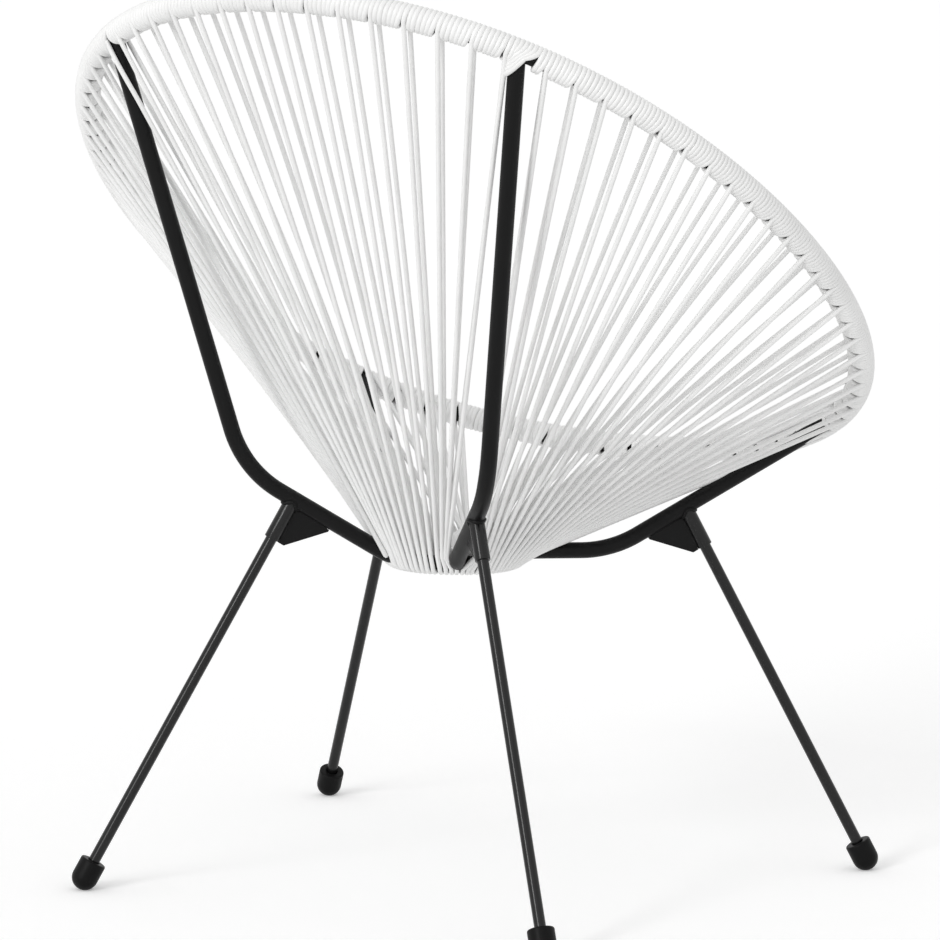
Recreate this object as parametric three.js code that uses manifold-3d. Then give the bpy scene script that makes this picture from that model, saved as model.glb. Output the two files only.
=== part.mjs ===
// Acapulco chair: a tilted oval rim of bent steel tube, two bent side tubes that carry it, four splayed legs
// in welded sockets, and a bowl of white cord. The cord is wound round the rim, and every few turns it runs
// down to a small ring under the seat, loops it and runs back up, so the bowl is two layers of taut strands.
// Millimetres, +Z up, the sitter faces -Y and has +X at the left hand. The origin is on the floor.
import * as THREE from 'three';
import { mergeVertices } from 'three/addons/utils/BufferGeometryUtils.js';
import Module from 'manifold-3d';

const wasm = await Module();
wasm.setup();

// Stock sizes
const frameTubeDiameter = 16;
const ringTubeDiameter = 14;
const legDiameter = 11.2;
const cordDiameter = 4.8;
const weldGap = 0.3;
const fitGap = 0.3;

// Rim: a flat oval, fuller towards the front, tilted up at the back
const rimHalfWidth = 388;
const rimHalfLength = 417;
const rimFlattening = 10.7;
const rimFrontFullnessShare = 0.068;
const rimCentreHeight = 636.5;
const rimTilt = THREE.MathUtils.degToRad(36.3);
const rearJointTurn = THREE.MathUtils.degToRad(37.7);
const frontJointTurn = THREE.MathUtils.degToRad(136.5);

// Seat ring
const ringRadius = 60;
const ringCentreBack = 10;
const sideTubeHeight = 324;

// Side tubes, given for the sitter's left. Each runs level across the ring, with some room to the winding on
// it. A lead is how far inside the ring's line a bend starts, a rise how far an elbow lies above the level run.
const ringWindingRoom = 4.2;
const rearElbowOut = 138.7;
const rearElbowBack = 174.7;
const rearElbowRise = 90.4;
const rearBendLead = 7.4;
const frontElbowOut = 118;
const frontElbowForward = 94;
const frontElbowRise = 2;
const frontBendLead = 26.2;
const elbowRadius = 110;
const rearRingBendRadius = 32;
const frontRingBendRadius = 55;

// Legs, sockets, gussets and foot caps
const rearFootOut = 262;
const rearFootBack = 265;
const frontFootOut = 323.5;
const frontFootForward = 256;
const socketPlaceShare = 0.33;
const socketDiameter = 15;
const socketEnd = 44;
const legInsertion = 28;
const gussetThickness = 3;
const gussetReach = 47;
const gussetTipDepth = 2;
const gussetFootWidth = 6;
const footCapRadius = 13;
const footCapSkirt = 18;
const footCapRounding = 2;
const footCapFlat = 0.5;
const footCapFloor = 9;

// Winding: stations are the places where a pair of strands leaves the rim
const rearStations = 15;
const sideStations = 24;
const frontStations = 18;
const rearSectors = 3;
const sideSectors = 4;
const frontSectors = 3;
const windingGroove = 0.9;
const strandWidth = 4.4;
const strandThickness = 4;
const strandPackingShare = 0.8;
const sectorGap = 0.3;
const tubeAllowance = 1.2;

const frameTubeRadius = frameTubeDiameter / 2;
const ringTubeRadius = ringTubeDiameter / 2;
const sideTubeOut = ringRadius - ringTubeRadius - cordDiameter - ringWindingRoom - frameTubeRadius;
const footHeight = footCapRadius - footCapFlat;
const tubeSides = 8;
const turnedSides = 12;
const sideTubeSteps = 46;
const rimSteps = 44;
const rimLengthSteps = 1440;
const ringSteps = 32;

const steelBlack = { color: 0x1b1b1c, roughness: 0.42, metalness: 0.55 };
const cordWhite = { color: 0xf1f1ef, roughness: 0.5, metalness: 0 };
const rubberBlack = { color: 0x161616, roughness: 0.75, metalness: 0 };

const group = new THREE.Group();

function addPiece(name, geometry, finish) {
  const mesh = new THREE.Mesh(geometry, new THREE.MeshStandardMaterial(finish));
  mesh.name = name;
  group.add(mesh);
  return mesh;
}

// Boolean solids
function toSolid(geometry) {
  const bare = geometry.clone();
  bare.deleteAttribute('normal');
  bare.deleteAttribute('uv');
  const merged = mergeVertices(bare);
  return new wasm.Manifold(new wasm.Mesh({
    numProp: 3,
    vertProperties: new Float32Array(merged.attributes.position.array),
    triVerts: new Uint32Array(merged.index.array),
  }));
}

// The geometry of a solid, without the offcuts that a cut may leave beside it
function toGeometry(solid) {
  const [body] = solid.decompose().sort((a, b) => b.volume() - a.volume());
  const mesh = body.getMesh();
  const geometry = new THREE.BufferGeometry();
  geometry.setAttribute('position', new THREE.BufferAttribute(mesh.vertProperties, 3));
  geometry.setIndex(new THREE.BufferAttribute(mesh.triVerts, 1));
  return geometry;
}

// Curves
class RimCurve extends THREE.Curve {
  getPoint(share, target = new THREE.Vector3()) {
    const turn = share * 2 * Math.PI;
    const along = rimHalfLength * Math.cos(turn) - rimFlattening * Math.cos(3 * turn);
    const across = rimHalfWidth * Math.sin(turn) * (1 - rimFrontFullnessShare * Math.cos(turn));
    return target.set(
      across,
      along * Math.cos(rimTilt),
      rimCentreHeight + along * Math.sin(rimTilt),
    );
  }
}

class RingCurve extends THREE.Curve {
  getPoint(share, target = new THREE.Vector3()) {
    const turn = share * 2 * Math.PI;
    return target.set(
      ringRadius * Math.sin(turn),
      ringRadius * Math.cos(turn) + ringCentreBack,
      sideTubeHeight,
    );
  }
}

const rimCurve = new RimCurve();
rimCurve.arcLengthDivisions = rimLengthSteps;
const ringCurve = new RingCurve();
const rimNormal = new THREE.Vector3(0, -Math.sin(rimTilt), Math.cos(rimTilt));
const up = new THREE.Vector3(0, 0, 1);
const rimLength = rimCurve.getLength();
const ringLength = 2 * Math.PI * ringRadius;

// Share of the rim's length that lies before a turn round its centre
function rimShareAt(turn) {
  const lengths = rimCurve.getLengths();
  const place = (turn / (2 * Math.PI)) * (lengths.length - 1);
  const below = Math.floor(place);
  const ahead = lengths[below] + (place - below) * (lengths[below + 1] - lengths[below]);
  return ahead / rimLength;
}

const wholeShare = (share) => share - Math.floor(share);
const rearJointShare = rimShareAt(rearJointTurn);
const frontJointShare = rimShareAt(frontJointTurn);

// Straight runs joined by round bends
function bentPath(corners, bendRadii) {
  const path = new THREE.CurvePath();
  let start = corners[0];
  for (let i = 1; i < corners.length - 1; i += 1) {
    const inward = new THREE.Vector3().subVectors(corners[i], corners[i - 1]).normalize();
    const outward = new THREE.Vector3().subVectors(corners[i + 1], corners[i]).normalize();
    const bend = inward.angleTo(outward);
    const setback = bendRadii[i - 1] * Math.tan(bend / 2);
    const handle = (4 / 3) * Math.tan(bend / 4) * bendRadii[i - 1];
    const enter = corners[i].clone().addScaledVector(inward, -setback);
    const leave = corners[i].clone().addScaledVector(outward, setback);
    path.add(new THREE.LineCurve3(start, enter));
    path.add(new THREE.CubicBezierCurve3(
      enter,
      enter.clone().addScaledVector(inward, handle),
      leave.clone().addScaledVector(outward, -handle),
      leave,
    ));
    start = leave;
  }
  path.add(new THREE.LineCurve3(start, corners[corners.length - 1]));
  return path;
}

// The corner of a bend that starts at a point in a given way and then runs straight on to an end
function bendCorner(start, way, end, bendRadius) {
  const span = new THREE.Vector3().subVectors(end, start);
  const ahead = span.dot(way);
  const aside = span.addScaledVector(way, -ahead).length();
  const halfBend = aside / (ahead + Math.sqrt(ahead ** 2 + aside * (aside - 2 * bendRadius)));
  return start.clone().addScaledVector(way, bendRadius * halfBend);
}

function roundSection(radius, sides) {
  const section = new THREE.Shape();
  for (let i = 0; i < sides; i += 1) {
    const angle = (i / sides) * 2 * Math.PI;
    const x = radius * Math.cos(angle);
    const y = radius * Math.sin(angle);
    if (i === 0) section.moveTo(x, y);
    else section.lineTo(x, y);
  }
  section.closePath();
  return section;
}

function tubeAlong(path, radius, steps) {
  return new THREE.ExtrudeGeometry(roundSection(radius, tubeSides), { steps, extrudePath: path });
}

// A closed surface through rings of equal point counts, as a seamless loop
function loopThrough(rings) {
  const sides = rings[0].length;
  const indices = [];
  for (let i = 0; i < rings.length; i += 1) {
    const next = (i + 1) % rings.length;
    for (let k = 0; k < sides; k += 1) {
      const side = (k + 1) % sides;
      indices.push(i * sides + k, next * sides + side, next * sides + k);
      indices.push(i * sides + k, i * sides + side, next * sides + side);
    }
  }
  const geometry = new THREE.BufferGeometry().setFromPoints(rings.flat());
  geometry.setIndex(indices);
  return geometry;
}

function ringOfPoints(centre, tangent, normal, radius, sides) {
  const side = new THREE.Vector3().crossVectors(tangent, normal).normalize();
  const lift = new THREE.Vector3().crossVectors(side, tangent).normalize();
  return Array.from({ length: sides }, (_, i) => {
    const angle = (i / sides) * 2 * Math.PI;
    return centre.clone()
      .addScaledVector(lift, radius * Math.cos(angle))
      .addScaledVector(side, radius * Math.sin(angle));
  });
}

// A tube round a closed curve; its rings stand at equal lengths
function closedTube(curve, normal, radius, steps, sides) {
  const rings = Array.from({ length: steps }, (_, i) => (
    ringOfPoints(curve.getPointAt(i / steps), curve.getTangentAt(i / steps), normal, radius, sides)
  ));
  return loopThrough(rings);
}

// The point of the faceted closed tube's centre line at a share of the curve's length
function chordPoint(curve, steps, share) {
  const place = share * steps;
  const below = Math.floor(place);
  const from = curve.getPointAt(wholeShare(below / steps));
  const to = curve.getPointAt(wholeShare((below + 1) / steps));
  return from.lerp(to, place - below);
}

// Side tubes
const sideNames = new Map([[1, 'left'], [-1, 'right']]);

function sideCorners(side) {
  const back = new THREE.Vector3(0, 1, 0);
  const forward = new THREE.Vector3(0, -1, 0);
  const rearJoint = rimCurve.getPointAt(rearJointShare);
  const frontJoint = rimCurve.getPointAt(frontJointShare);
  const rearElbow = new THREE.Vector3(side * rearElbowOut, rearElbowBack, sideTubeHeight + rearElbowRise);
  const frontElbow = new THREE.Vector3(
    side * frontElbowOut,
    -frontElbowForward,
    sideTubeHeight + frontElbowRise,
  );
  const overRing = Math.sqrt(ringRadius ** 2 - sideTubeOut ** 2);
  const rearBend = new THREE.Vector3(
    side * sideTubeOut,
    ringCentreBack + overRing - rearBendLead,
    sideTubeHeight,
  );
  const frontBend = new THREE.Vector3(
    side * sideTubeOut,
    ringCentreBack - overRing + frontBendLead,
    sideTubeHeight,
  );
  return [
    new THREE.Vector3(side * rearJoint.x, rearJoint.y, rearJoint.z),
    rearElbow,
    bendCorner(rearBend, back, rearElbow, rearRingBendRadius),
    bendCorner(frontBend, forward, frontElbow, frontRingBendRadius),
    frontElbow,
    new THREE.Vector3(side * frontJoint.x, frontJoint.y, frontJoint.z),
  ];
}

function sidePath(side) {
  return bentPath(
    sideCorners(side),
    [elbowRadius, rearRingBendRadius, frontRingBendRadius, elbowRadius],
  );
}

const facetShare = Math.cos(Math.PI / tubeSides);
const weldClearance = (frameTubeRadius + weldGap) / facetShare;
const rimClearance = toSolid(closedTube(rimCurve, rimNormal, weldClearance, rimSteps, tubeSides));
const sideClearance = new Map();
for (const [side, name] of sideNames) {
  const path = sidePath(side);
  const tube = toSolid(tubeAlong(path, frameTubeRadius, sideTubeSteps)).subtract(rimClearance);
  addPiece(`side_tube_${name}`, toGeometry(tube), steelBlack);
  sideClearance.set(side, toSolid(tubeAlong(path, weldClearance, sideTubeSteps)));
}

// Rim tube
addPiece('rim_tube', closedTube(rimCurve, rimNormal, frameTubeRadius, rimSteps, tubeSides), steelBlack);

// Where the left side tube passes a circle about the ring's centre: turns from the back of the chair
function sideTubeCrossings(radius) {
  const turns = sidePath(1).getSpacedPoints(sideTubeSteps ** 2)
    .map((point) => ({
      reach: Math.hypot(point.x, point.y - ringCentreBack) - radius,
      turn: Math.atan2(point.x, point.y - ringCentreBack),
    }))
    .filter(({ reach }, i, all) => i > 0 && reach * all[i - 1].reach < 0)
    .map(({ turn }) => turn);
  return { rear: turns[0], front: turns[turns.length - 1] };
}

// The block over the seat ring from one turn to another, less half a weld gap at each end
function ringWedge(from, to) {
  const trim = weldGap / 2 / ringRadius;
  const reach = 2 * ringRadius;
  const outline = new THREE.Shape().moveTo(0, 0);
  [from + trim, (from + to) / 2, to - trim].forEach((turn) => {
    outline.lineTo(reach * Math.sin(turn), reach * Math.cos(turn));
  });
  const block = new THREE.ExtrudeGeometry(outline, { depth: 2 * ringTubeDiameter, bevelEnabled: false });
  return toSolid(block.translate(0, ringCentreBack, sideTubeHeight - ringTubeDiameter));
}

// Seat ring, level with the side tubes and welded between them in four arcs
const { rear: rearCrossing, front: frontCrossing } = sideTubeCrossings(ringRadius);
const whole = 2 * Math.PI;
const ringArcs = {
  rear: [-rearCrossing, rearCrossing],
  left: [rearCrossing, frontCrossing],
  front: [frontCrossing, whole - frontCrossing],
  right: [whole - frontCrossing, whole - rearCrossing],
};
const ringTube = toSolid(closedTube(ringCurve, up, ringTubeRadius, ringSteps, tubeSides))
  .subtract(sideClearance.get(1))
  .subtract(sideClearance.get(-1));
for (const [name, [from, to]] of Object.entries(ringArcs)) {
  addPiece(`seat_ring_${name}`, toGeometry(ringTube.intersect(ringWedge(from, to))), steelBlack);
}

// Legs with their sockets, gussets and foot caps
function axisPlacement(mesh, base, direction) {
  mesh.position.copy(base);
  mesh.quaternion.setFromUnitVectors(new THREE.Vector3(0, 1, 0), direction);
}

function socketGeometry() {
  const outer = socketDiameter / 2;
  const bore = legDiameter / 2 + fitGap;
  const profile = [
    new THREE.Vector2(bore, 0),
    new THREE.Vector2(outer, 0),
    new THREE.Vector2(outer, socketEnd),
    new THREE.Vector2(bore, socketEnd),
    new THREE.Vector2(bore, 0),
  ];
  return new THREE.LatheGeometry(profile, turnedSides);
}

function footCapGeometry() {
  const bore = legDiameter / 2 + fitGap;
  const profile = [];
  const arcSteps = 4;
  for (let i = 0; i <= arcSteps; i += 1) {
    const angle = (i / arcSteps) * (Math.PI / 2);
    const radius = i === 0 ? 0 : footCapRadius * Math.sin(angle);
    profile.push(new THREE.Vector2(radius, -footCapRadius * Math.cos(angle)));
  }
  profile.push(new THREE.Vector2(footCapRadius, footCapSkirt - footCapRounding));
  profile.push(new THREE.Vector2(footCapRadius - footCapRounding, footCapSkirt));
  profile.push(new THREE.Vector2(bore, footCapSkirt));
  profile.push(new THREE.Vector2(bore, footCapFloor - footCapRadius));
  profile.push(new THREE.Vector2(0, footCapFloor - footCapRadius));
  return new THREE.LatheGeometry(profile, turnedSides);
}

const floorBlock = toSolid(
  new THREE.BoxGeometry(8 * footCapRadius, 8 * footCapRadius, 2 * footCapRadius)
    .translate(0, 0, -footCapRadius),
);

// The plate between a socket and the tube above it, drawn in the plane that holds both
function gussetGeometry(weldPoint, alongTube, legDown) {
  const lean = alongTube.dot(legDown);
  const drop = new THREE.Vector3().copy(legDown).addScaledVector(alongTube, -lean).normalize();
  const sink = legDown.dot(drop);
  const besideSocket = (depth) => (socketDiameter / 2 + weldGap + lean * depth) / sink;
  const top = frameTubeRadius + weldGap;
  const bottom = socketEnd * sink;
  const plate = new THREE.Shape();
  plate.moveTo(besideSocket(top), top);
  plate.lineTo(gussetReach, top);
  plate.lineTo(gussetReach, top + gussetTipDepth);
  plate.lineTo(besideSocket(bottom) + gussetFootWidth, bottom);
  plate.lineTo(besideSocket(bottom), bottom);
  plate.closePath();
  const geometry = new THREE.ExtrudeGeometry(plate, { depth: gussetThickness, bevelEnabled: false });
  geometry.translate(0, 0, -gussetThickness / 2);
  const face = new THREE.Vector3().crossVectors(alongTube, drop);
  geometry.applyMatrix4(new THREE.Matrix4().makeBasis(alongTube, drop, face).setPosition(weldPoint));
  return geometry;
}

const legPlaces = [
  { end: 'rear', from: 1, to: 2, out: rearFootOut, back: rearFootBack },
  { end: 'front', from: 4, to: 5, out: frontFootOut, back: -frontFootForward },
];
for (const [side, sideName] of sideNames) {
  const corners = sideCorners(side);
  for (const { end, from, to, out, back } of legPlaces) {
    const name = `${end}_${sideName}`;
    const foot = new THREE.Vector3(side * out, back, footHeight);
    const weldPoint = new THREE.Vector3().lerpVectors(corners[from], corners[to], socketPlaceShare);
    const legDown = new THREE.Vector3().subVectors(foot, weldPoint).normalize();
    const legUp = legDown.clone().negate();
    const towardsRing = new THREE.Vector3()
      .subVectors(corners[to], corners[from])
      .multiplyScalar(end === 'rear' ? 1 : -1)
      .normalize();

    const socket = new THREE.Mesh(socketGeometry());
    axisPlacement(socket, weldPoint, legDown);
    socket.updateMatrix();
    const weldSide = sideClearance.get(side);
    const placedSocket = toSolid(socket.geometry.applyMatrix4(socket.matrix)).subtract(weldSide);
    addPiece(`leg_socket_${name}`, toGeometry(placedSocket), steelBlack);
    addPiece(`gusset_${name}`, gussetGeometry(weldPoint, towardsRing, legDown), steelBlack);

    const legTop = socketEnd - legInsertion;
    const legFoot = foot.distanceTo(weldPoint) + footCapRadius - footCapFloor - fitGap;
    const legLength = legFoot - legTop;
    const legShape = new THREE.CylinderGeometry(legDiameter / 2, legDiameter / 2, legLength, turnedSides);
    legShape.translate(0, legTop + legLength / 2, 0);
    axisPlacement(addPiece(`leg_${name}`, legShape, steelBlack), weldPoint, legDown);

    const cap = new THREE.Mesh(footCapGeometry());
    axisPlacement(cap, foot, legUp);
    cap.updateMatrix();
    const floorHere = floorBlock.translate([foot.x, foot.y, 0]);
    const capSolid = toSolid(cap.geometry.applyMatrix4(cap.matrix)).subtract(floorHere);
    addPiece(`foot_cap_${name}`, toGeometry(capSolid), rubberBlack);
  }
}

// Cord winding and strands. A section through the winding has its points at turns from the way the strands
// leave, so that one side of it, cut square to the strand's thickness, is where an outer strand grows out of
// it and the matching side is where an inner one does.
const quarter = Math.PI / 2;
const strandSides = [1, 6];

function windingOn(tubeRadius) {
  const crown = tubeRadius + cordDiameter;
  const groove = crown - windingGroove;
  const strandEdge = Math.asin(1 - strandThickness / groove);
  const turns = [
    0, strandEdge, quarter, 1.5 * quarter, 2 * quarter, 2.5 * quarter, 3 * quarter, 4 * quarter - strandEdge,
  ];
  const bore = (tubeRadius + fitGap) / Math.cos(Math.max(quarter - strandEdge, quarter / 2, strandEdge) / 2);
  return { crown, groove, bore, turns };
}

const rimWinding = windingOn(frameTubeRadius);
const ringWinding = windingOn(ringTubeRadius);
const bowlInside = new THREE.Vector3(0, ringCentreBack, rimCentreHeight);

// How far round the ring the strands of each section can go without touching a side tube
const clearReach = frameTubeRadius + tubeAllowance;
const crossings = [-ringWinding.crown, 0, ringWinding.crown].map((offset) => {
  const radius = ringRadius + offset;
  const { rear, front } = sideTubeCrossings(radius);
  return { rear, front, allowance: clearReach / radius / Math.cos(offset > 0 ? 0 : rear) };
});
const rearReach = Math.min(...crossings.map(({ rear, allowance }) => rear - allowance));
const sideStart = Math.max(...crossings.map(({ rear, allowance }) => rear + allowance));
const sideEnd = Math.min(...crossings.map(({ front, allowance }) => front - allowance));
const frontReach = Math.max(...crossings.map(({ front, allowance }) => front + allowance));

const sections = [
  {
    name: 'rear',
    stations: rearStations,
    sectors: rearSectors,
    rim: [-rearJointShare, rearJointShare],
    ring: [-rearReach, rearReach],
    welds: ringArcs.rear,
    between: [-1, 1],
  },
  {
    name: 'left',
    stations: sideStations,
    sectors: sideSectors,
    rim: [rearJointShare, frontJointShare],
    ring: [sideStart, sideEnd],
    welds: ringArcs.left,
    between: [1, 1],
  },
  {
    name: 'front',
    stations: frontStations,
    sectors: frontSectors,
    rim: [frontJointShare, 1 - frontJointShare],
    ring: [frontReach, whole - frontReach],
    welds: ringArcs.front,
    between: [1, -1],
  },
  {
    name: 'right',
    stations: sideStations,
    sectors: sideSectors,
    rim: [1 - frontJointShare, 1 - rearJointShare],
    ring: [whole - sideEnd, whole - sideStart],
    welds: ringArcs.right,
    between: [-1, -1],
  },
];

const mix = ([from, to], share) => from + (to - from) * share;

// The centre line, and the ways towards the strand and out of the bowl, at a share of a section
function windingFrame(section, share, onRing) {
  const rimShare = wholeShare(mix(section.rim, share));
  const ringShare = wholeShare(mix(section.ring, share) / whole);
  const rimPoint = rimCurve.getPointAt(rimShare);
  const ringPoint = ringCurve.getPointAt(ringShare);
  const tangent = onRing ? ringCurve.getTangentAt(ringShare) : rimCurve.getTangentAt(rimShare);
  const towards = new THREE.Vector3().subVectors(ringPoint, rimPoint);
  if (onRing) towards.negate();
  towards.addScaledVector(tangent, -towards.dot(tangent)).normalize();
  const outwards = new THREE.Vector3().crossVectors(tangent, towards);
  if (outwards.dot(rimPoint.clone().sub(bowlInside)) < 0) outwards.negate();
  return { centre: onRing ? ringPoint : rimPoint, towards, outwards };
}

function windingSection({ centre, towards, outwards }, turns, radius) {
  return turns.map((turn) => centre.clone()
    .addScaledVector(towards, radius * Math.cos(turn))
    .addScaledVector(outwards, radius * Math.sin(turn)));
}

// Shares of the section at which the bore of a winding has its rings: the ends and the tube's own joints
function boreShares(range, steps, first, last) {
  const from = mix(range, first) * steps;
  const to = mix(range, last) * steps;
  const shares = [first];
  for (let joint = Math.floor(from) + 1; joint < to; joint += 1) {
    shares.push((joint / steps - range[0]) / (range[1] - range[0]));
  }
  shares.push(last);
  return shares;
}

// The outer rings of a sector's winding: two at each strand and, on the rim, a crown between neighbours
function outerRings(span, ends, stations, width, groove, crown) {
  const pitch = (span[1] - span[0]) / stations;
  const rings = [{ share: ends[0], radius: crown }];
  for (let i = 0; i < stations; i += 1) {
    const middle = span[0] + (i + 0.5) * pitch;
    rings.push({ share: middle - width / 2, radius: groove, strand: true });
    rings.push({ share: middle + width / 2, radius: groove });
    if (crown > groove && i < stations - 1) rings.push({ share: middle + pitch / 2, radius: crown });
  }
  rings.push({ share: ends[1], radius: crown });
  return rings;
}

function sectorGeometry(section, sector) {
  const { sectors, rim, ring, welds, between } = section;
  const stations = section.stations / sectors;
  const span = [sector / sectors, (sector + 1) / sectors];
  const vertices = [];
  const indices = [];
  const holes = { rim: [], ring: [] };

  function addQuad([a, b, c, d], flipped) {
    if (flipped) indices.push(a, c, b, a, d, c);
    else indices.push(a, b, c, a, c, d);
  }

  function addWinding(place, winding, outer, bore, centreAt) {
    const start = vertices.length;
    const sides = winding.turns.length;
    const onRing = place === 'ring';
    outer.forEach(({ share, radius }) => {
      vertices.push(...windingSection(windingFrame(section, share, onRing), winding.turns, radius));
    });
    bore.reverse().forEach((share) => {
      const frame = windingFrame(section, share, onRing);
      frame.centre = centreAt(share);
      vertices.push(...windingSection(frame, winding.turns, winding.bore));
    });
    const count = outer.length + bore.length;
    for (let i = 0; i < count; i += 1) {
      const next = (i + 1) % count;
      for (let k = 0; k < sides; k += 1) {
        const side = (k + 1) % sides;
        const corners = [[i, k], [i, side], [next, side], [next, k]];
        const quad = corners.map(([row, point]) => start + row * sides + point);
        if (i < outer.length && outer[i].strand && strandSides.includes(k)) holes[place].push(quad);
        else addQuad(quad, onRing);
      }
    }
  }

  const rimSpanLength = rimLength * (rim[1] - rim[0]);
  const rimEnds = [span[0] + sectorGap / 2 / rimSpanLength, span[1] - sectorGap / 2 / rimSpanLength];
  addWinding(
    'rim',
    rimWinding,
    outerRings(span, rimEnds, stations, strandWidth / rimSpanLength, rimWinding.groove, rimWinding.crown),
    boreShares(rim, rimSteps, ...rimEnds),
    (share) => chordPoint(rimCurve, rimSteps, mix(rim, share)),
  );

  const ringRange = ring.map((turn) => turn / whole);
  const ringSpanLength = ringLength * (ringRange[1] - ringRange[0]);
  const weldShares = welds.map((turn) => (turn - ring[0]) / (ring[1] - ring[0]));
  const ringEnds = [
    (sector === 0 ? weldShares[0] : span[0]) + sectorGap / 2 / ringSpanLength,
    (sector === sectors - 1 ? weldShares[1] : span[1]) - sectorGap / 2 / ringSpanLength,
  ];
  const ringStrandWidth = (strandPackingShare * (span[1] - span[0])) / stations;
  addWinding(
    'ring',
    ringWinding,
    outerRings(span, ringEnds, stations, ringStrandWidth, ringWinding.groove, ringWinding.groove),
    boreShares(ringRange, ringSteps, ...ringEnds),
    (share) => chordPoint(ringCurve, ringSteps, mix(ringRange, share)),
  );

  // Each strand joins a hole in the rim's winding to the matching one in the ring's
  holes.rim.forEach((near, i) => {
    const far = holes.ring[i];
    for (let k = 0; k < near.length; k += 1) {
      const next = (k + 1) % near.length;
      addQuad([near[k], near[next], far[next], far[k]], false);
    }
  });

  const geometry = new THREE.BufferGeometry().setFromPoints(vertices);
  geometry.setIndex(indices);
  const cutters = [];
  if (sector === 0) cutters.push(sideClearance.get(between[0]));
  if (sector === sectors - 1) cutters.push(sideClearance.get(between[1]));
  if (cutters.length === 0) return geometry;
  return toGeometry(cutters.reduce((solid, cutter) => solid.subtract(cutter), toSolid(geometry)));
}

for (const section of sections) {
  for (let sector = 0; sector < section.sectors; sector += 1) {
    addPiece(`cord_${section.name}_${sector + 1}`, sectorGeometry(section, sector), cordWhite);
  }
}

export default group;
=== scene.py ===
import math

import bpy
import numpy as np
from mathutils import Matrix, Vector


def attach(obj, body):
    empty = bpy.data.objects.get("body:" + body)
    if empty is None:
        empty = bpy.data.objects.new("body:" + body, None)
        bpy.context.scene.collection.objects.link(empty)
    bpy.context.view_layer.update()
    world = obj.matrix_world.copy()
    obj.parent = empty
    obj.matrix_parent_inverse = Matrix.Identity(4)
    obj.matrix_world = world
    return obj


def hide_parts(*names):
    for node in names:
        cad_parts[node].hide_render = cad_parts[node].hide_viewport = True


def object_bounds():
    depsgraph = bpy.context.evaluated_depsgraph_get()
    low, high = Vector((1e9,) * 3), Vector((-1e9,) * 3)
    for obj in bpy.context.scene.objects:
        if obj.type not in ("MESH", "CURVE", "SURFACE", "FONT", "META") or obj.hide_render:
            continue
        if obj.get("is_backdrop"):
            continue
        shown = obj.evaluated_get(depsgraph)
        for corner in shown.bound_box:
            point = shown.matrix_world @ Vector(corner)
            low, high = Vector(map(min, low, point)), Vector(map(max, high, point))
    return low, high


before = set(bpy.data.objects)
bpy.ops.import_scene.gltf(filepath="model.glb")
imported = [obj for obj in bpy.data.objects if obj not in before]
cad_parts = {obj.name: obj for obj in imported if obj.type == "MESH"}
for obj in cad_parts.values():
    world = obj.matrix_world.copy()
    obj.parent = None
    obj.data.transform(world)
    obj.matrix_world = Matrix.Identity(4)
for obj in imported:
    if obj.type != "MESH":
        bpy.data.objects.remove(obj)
cad_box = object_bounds()

# The photograph's stand: a long lens behind the chair and to the sitter's right, a little above the seat.
# The floor and the surroundings are plain white, and the light is soft, strongest from above the left.
CAMERA_PLACE = (-2.5222, 4.0138, 1.0468)
CAMERA_TARGET = (-0.01215, 0.0025, 0.4076)
CAMERA_ROLL = math.radians(0.648)
CAMERA_REACH = 60
FOCAL_PIXELS = 4861.9
FRAME_PIXELS = 940
SENSOR_WIDTH = 36

camera_data = bpy.data.cameras.new("photo_camera")
camera_data.sensor_width = SENSOR_WIDTH
camera_data.lens = FOCAL_PIXELS / FRAME_PIXELS * SENSOR_WIDTH
camera_data.clip_end = CAMERA_REACH
camera = bpy.data.objects.new("photo_camera", camera_data)
bpy.context.scene.collection.objects.link(camera)
bpy.context.scene.camera = camera
back = np.array(CAMERA_PLACE) - np.array(CAMERA_TARGET)
back /= np.linalg.norm(back)
right = np.cross((0, 0, 1), back)
right /= np.linalg.norm(right)
above = np.cross(back, right)
rolled_right = right * math.cos(CAMERA_ROLL) + above * math.sin(CAMERA_ROLL)
rolled_above = -right * math.sin(CAMERA_ROLL) + above * math.cos(CAMERA_ROLL)
camera_rows = np.stack([rolled_right, rolled_above, back, CAMERA_PLACE], axis=-1)
camera.matrix_world = Matrix([*camera_rows.tolist(), [0, 0, 0, 1]])

# The stand is a wide plain white floor in a white room. The lamps and the room light the chair softly, and
# both show as plain white to the camera and in reflections, while the floor keeps the chair's faint shadow.
FLOOR_HALF = 60.0
FLOOR_COLOUR = 0.93
FLOOR_ROUGHNESS = 0.9
FLOOR_LIFT = 0.197
ROOM_LIGHT = 0.70
LAMP_HEIGHT = 4


def seen_directly(tree):
    """1 for a camera, glossy or transmitted ray and 0 for any other: the largest of Light Path's three."""
    path = tree.nodes.new("ShaderNodeLightPath")
    mirrored = tree.nodes.new("ShaderNodeMath")
    mirrored.operation = "MAXIMUM"
    tree.links.new(path.outputs["Is Glossy Ray"], mirrored.inputs[0])
    tree.links.new(path.outputs["Is Transmission Ray"], mirrored.inputs[1])
    seen = tree.nodes.new("ShaderNodeMath")
    seen.operation = "MAXIMUM"
    tree.links.new(path.outputs["Is Camera Ray"], seen.inputs[0])
    tree.links.new(mirrored.outputs[0], seen.inputs[1])
    return seen.outputs[0]


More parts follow.
